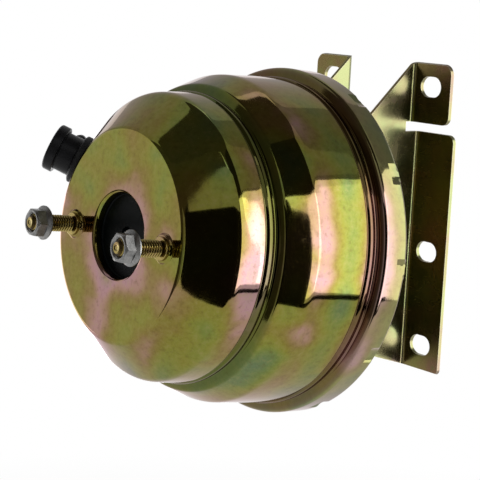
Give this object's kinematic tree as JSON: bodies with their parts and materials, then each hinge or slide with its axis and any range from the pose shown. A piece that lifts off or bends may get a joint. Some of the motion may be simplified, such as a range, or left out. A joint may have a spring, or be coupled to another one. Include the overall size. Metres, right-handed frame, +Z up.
{
  "type": "brake booster",
  "caption": "Dual-diaphragm vacuum brake booster with stepped shell, crimped ring, front studs, side check valve and slotted firewall brackets.",
  "frame": {"origin": "middle of the four lower bracket slots, on the face that lies on the firewall", "axes": "+Y through the firewall to the pedal, +Z up, +X to the right for someone who looks at the front shell"},
  "size_m": [0.2004, 0.2515, 0.2067],
  "materials": {
    "yellow_zinc": "glossy yellow zinc plating",
    "bracket_zinc": "satin yellow zinc plating",
    "silver_zinc": "bright zinc plating",
    "stud_zinc": "yellow zinc plating",
    "spring_steel": "oiled spring steel",
    "plain_steel": "zinc plating",
    "black_rubber": "matte",
    "black_plastic": "matte",
    "phenolic": "matte",
    "white_plastic": "matte",
    "foam": "open felt"
  },
  "bodies": {
    "housing": {"front_shell": "yellow_zinc", "rear_shell": "yellow_zinc", "divider_plate": "plain_steel", "divider_seal": "black_rubber", "front_reinforcement": "plain_steel", "hub_seal": "black_rubber", "mc_studs": "stud_zinc", "mc_nuts": "silver_zinc", "rear_studs": "stud_zinc", "bracket_nuts": "silver_zinc", "bracket_right": "bracket_zinc", "bracket_left": "bracket_zinc", "neck_seal": "black_rubber", "neck_bearing": "white_plastic", "valve_grommet": "black_rubber", "front_diaphragm": "black_rubber", "rear_diaphragm": "black_rubber", "return_spring": "spring_steel", "dust_boot": "black_rubber"},
    "power_piston": {"valve_body": "phenolic", "stop_key": "plain_steel", "front_piston_plate": "plain_steel", "rear_piston_plate": "plain_steel", "plate_lock_ring": "spring_steel", "reaction_disc": "black_rubber", "output_rod": "plain_steel", "output_tip": "plain_steel", "rod_retainer": "spring_steel", "poppet_valve": "black_rubber", "poppet_retainer": "plain_steel", "air_filter": "foam", "filter_retainer": "black_plastic", "rod_spring": "spring_steel", "poppet_spring": "spring_steel"},
    "plunger": {"valve_plunger": "plain_steel"},
    "push_rod": {"input_rod": "stud_zinc", "rod_jam_nut": "silver_zinc"},
    "check_valve": {"check_valve_body": "black_plastic", "check_valve_cap": "black_plastic"}
  },
  "joints": [
    {"name": "piston_slide", "type": "slide", "parent": "housing", "child": "power_piston", "axis": [0, -0.9962, 0.0872], "range_m": [0, 0.028], "stiffness_N_per_m": 3000, "springref_m": -0.02, "deforming": ["return_spring", "front_diaphragm", "rear_diaphragm", "dust_boot"]},
    {"name": "plunger_slide", "type": "slide", "parent": "power_piston", "child": "plunger", "axis": [0, -0.9962, 0.0872], "range_m": [0, 0.0016], "stiffness_N_per_m": 2500, "springref_m": -0.008, "deforming": ["rod_spring", "poppet_spring", "dust_boot"]},
    {"name": "rod_pitch", "type": "hinge", "parent": "plunger", "child": "push_rod", "pos_m": [0, -0.05292, 0.03163], "axis": [1, 0, 0], "range_deg": [-2.5, 2.5], "stiffness_Nm_per_rad": 3, "deforming": ["dust_boot", "rod_spring"]},
    {"name": "valve_swivel", "type": "hinge", "parent": "housing", "child": "check_valve", "pos_m": [-0.06209, -0.18005, 0.07674], "axis": [-0.6252, -0.6697, 0.4008], "continuous": true}
  ]
}
